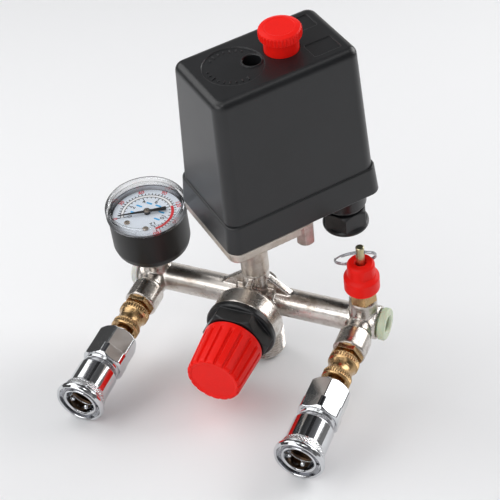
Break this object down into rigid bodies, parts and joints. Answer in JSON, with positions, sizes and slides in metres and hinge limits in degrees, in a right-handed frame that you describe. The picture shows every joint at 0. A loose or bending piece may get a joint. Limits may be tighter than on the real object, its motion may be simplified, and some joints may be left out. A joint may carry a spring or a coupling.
{
  "type": "pressure switch",
  "caption": "Compressor pressure switch in a tapered box on a tube manifold with dial gauge, pull-ring relief valve, knob regulator and quick couplers.",
  "frame": {"origin": "on the axis of the tank inlet, at the top of its thread; the axes of the cross tube and the regulator meet it 23 mm higher", "axes": "+Z along the neck up to the switch, -Z down the tank inlet, +X along the cross tube to the relief valve end, -Y along the regulator and the couplers"},
  "size_m": [0.1423, 0.1502, 0.1871],
  "materials": {
    "nickel_casting": "nickel plated die casting, drawn polish along the tube",
    "zinc_casting": "raw die cast, fine blasted",
    "pale_plastic": "pale green acetal",
    "seal_rubber": "nitrile rubber",
    "case_paint": "satin black paint",
    "brass": "turned brass",
    "dial_white": "white printed dial",
    "pointer_black": "black pointer",
    "clear_plastic": "clear moulded lens",
    "red_plastic": "red moulded plastic",
    "yellow_zinc": "yellow chromate zinc",
    "white_zinc": "white zinc plate",
    "plain_steel": "bright steel",
    "spring_steel": "spring wire",
    "ball_steel": "polished ball",
    "black_plastic": "fine textured black plastic",
    "chrome": "bright chrome plate",
    "copper": "bronze contact strip"
  },
  "bodies": {
    "manifold": {"manifold_body": "nickel_casting", "tube_seals": "seal_rubber", "gauge_case": "case_paint", "gauge_socket": "brass", "gauge_bourdon": "brass", "gauge_movement": "brass", "gauge_dial": "dial_white", "gauge_lens": "clear_plastic", "dial_screws": "brass", "relief_body": "brass", "relief_cap": "red_plastic", "relief_spring": "spring_steel", "regulator_bonnet": "black_plastic", "regulator_spring": "spring_steel", "regulator_diaphragm": "seal_rubber", "poppet_spring": "spring_steel", "valve_body_left": "brass", "valve_body_right": "brass", "coupler_body_left": "chrome", "coupler_body_right": "chrome", "sleeve_spring_left": "spring_steel", "sleeve_spring_right": "spring_steel", "coupler_spring_left": "spring_steel", "coupler_spring_right": "spring_steel", "coupler_balls": "ball_steel", "coupler_clips": "spring_steel", "switch_flange": "zinc_casting", "switch_base": "black_plastic", "switch_cover": "black_plastic", "cover_screw": "plain_steel", "switch_frame": "plain_steel", "flange_screws": "plain_steel", "switch_diaphragm": "seal_rubber", "range_spring": "spring_steel", "range_screw": "yellow_zinc", "terminal_block": "black_plastic", "terminal_screws": "yellow_zinc", "gland_nuts": "black_plastic", "gland_seals": "seal_rubber", "unloader_body": "white_zinc"},
    "collet_left_part": {"collet_left": "pale_plastic"},
    "collet_right_part": {"collet_right": "pale_plastic"},
    "gauge_pointer_part": {"gauge_pointer": "pointer_black"},
    "relief_stem_part": {"relief_stem": "yellow_zinc"},
    "relief_ring_part": {"relief_ring": "spring_steel"},
    "regulator_screw_part": {"regulator_screw": "plain_steel"},
    "regulator_knob_part": {"regulator_knob": "red_plastic"},
    "regulator_nut_part": {"regulator_nut": "plain_steel"},
    "regulator_poppet_part": {"regulator_poppet": "brass"},
    "valve_sleeve_left_part": {"valve_sleeve_left": "brass"},
    "valve_sleeve_right_part": {"valve_sleeve_right": "brass"},
    "coupler_sleeve_left_part": {"coupler_sleeve_left": "chrome"},
    "coupler_sleeve_right_part": {"coupler_sleeve_right": "chrome"},
    "coupler_poppet_left_part": {"coupler_poppet_left": "brass"},
    "coupler_poppet_right_part": {"coupler_poppet_right": "brass"},
    "on_off_knob_part": {"on_off_knob": "red_plastic"},
    "switch_piston_part": {"switch_piston": "zinc_casting"},
    "contact_lever_part": {"contact_lever": "plain_steel"},
    "contact_bridge_part": {"contact_bridge": "copper"},
    "unloader_pin_part": {"unloader_pin": "brass"}
  },
  "joints": [
    {"name": "collet_left_release", "type": "slide", "parent": "manifold", "child": "collet_left_part", "axis": [1, 0, 0], "range_m": [0, 0.0008]},
    {"name": "collet_right_release", "type": "slide", "parent": "manifold", "child": "collet_right_part", "axis": [-1, 0, 0], "range_m": [0, 0.0008]},
    {"name": "pointer_sweep", "type": "hinge", "parent": "manifold", "child": "gauge_pointer_part", "pos_m": [-0.055, 0, 0.066], "axis": [0, 0, -1], "range_deg": [0, 256]},
    {"name": "relief_lift", "type": "slide", "parent": "manifold", "child": "relief_stem_part", "axis": [0, 0, 1], "range_m": [0, 0.0025], "deforming": ["relief_spring"]},
    {"name": "ring_swing", "type": "hinge", "parent": "relief_stem_part", "child": "relief_ring_part", "pos_m": [0.055, 0, 0.0682], "axis": [0.891, 0.454, 0], "range_deg": [0, 100]},
    {"name": "pressure_adjust", "type": "hinge", "parent": "manifold", "child": "regulator_screw_part", "pos_m": [0, -0.045, 0.023], "axis": [0, 1, 0], "range_deg": [0, 1260]},
    {"name": "knob_unlock", "type": "slide", "parent": "regulator_screw_part", "child": "regulator_knob_part", "axis": [0, -1, 0], "range_m": [0, 0.0025]},
    {"name": "nut_travel", "type": "slide", "parent": "manifold", "child": "regulator_nut_part", "axis": [0, 1, 0], "range_m": [0, 0.0036], "deforming": ["regulator_spring"]},
    {"name": "poppet_open", "type": "slide", "parent": "manifold", "child": "regulator_poppet_part", "axis": [0, 1, 0], "range_m": [0, 0.001], "deforming": ["poppet_spring"]},
    {"name": "valve_left_slide", "type": "slide", "parent": "manifold", "child": "valve_sleeve_left_part", "axis": [0, -1, 0], "range_m": [0, 0.0045]},
    {"name": "valve_right_slide", "type": "slide", "parent": "manifold", "child": "valve_sleeve_right_part", "axis": [0, -1, 0], "range_m": [0, 0.0045]},
    {"name": "coupler_left_release", "type": "slide", "parent": "manifold", "child": "coupler_sleeve_left_part", "axis": [0, 1, 0], "range_m": [0, 0.0038], "deforming": ["sleeve_spring_left"]},
    {"name": "coupler_right_release", "type": "slide", "parent": "manifold", "child": "coupler_sleeve_right_part", "axis": [0, 1, 0], "range_m": [0, 0.0038], "deforming": ["sleeve_spring_right"]},
    {"name": "coupler_left_open", "type": "slide", "parent": "manifold", "child": "coupler_poppet_left_part", "axis": [0, 1, 0], "range_m": [0, 0.0038], "deforming": ["coupler_spring_left"]},
    {"name": "coupler_right_open", "type": "slide", "parent": "manifold", "child": "coupler_poppet_right_part", "axis": [0, 1, 0], "range_m": [0, 0.0038], "deforming": ["coupler_spring_right"]},
    {"name": "on_off", "type": "slide", "parent": "manifold", "child": "on_off_knob_part", "axis": [0, 0, -1], "range_m": [0, 0.005]},
    {"name": "diaphragm_stroke", "type": "slide", "parent": "manifold", "child": "switch_piston_part", "axis": [0, 0, 1], "range_m": [0, 0.0008], "deforming": ["range_spring"]},
    {"name": "lever_trip", "type": "hinge", "parent": "manifold", "child": "contact_lever_part", "pos_m": [0.01061, 0.01329, 0.0962], "axis": [-0.7815, 0.6239, 0], "range_deg": [0, 8.1]},
    {"name": "contacts_open", "type": "slide", "parent": "manifold", "child": "contact_bridge_part", "axis": [0, 0, -1], "range_m": [0, 0.00236]},
    {"name": "unloader_push", "type": "slide", "parent": "manifold", "child": "unloader_pin_part", "axis": [0, 0, 1], "range_m": [0, 0.001]}
  ],
  "couplings": [
    {"joint": "nut_travel", "follows": "pressure_adjust", "m_per_rad": 0.00015915},
    {"joint": "lever_trip", "follows": "diaphragm_stroke", "rad_per_m": 174.53},
    {"joint": "contacts_open", "follows": "diaphragm_stroke", "ratio": 2.9375}
  ]
}
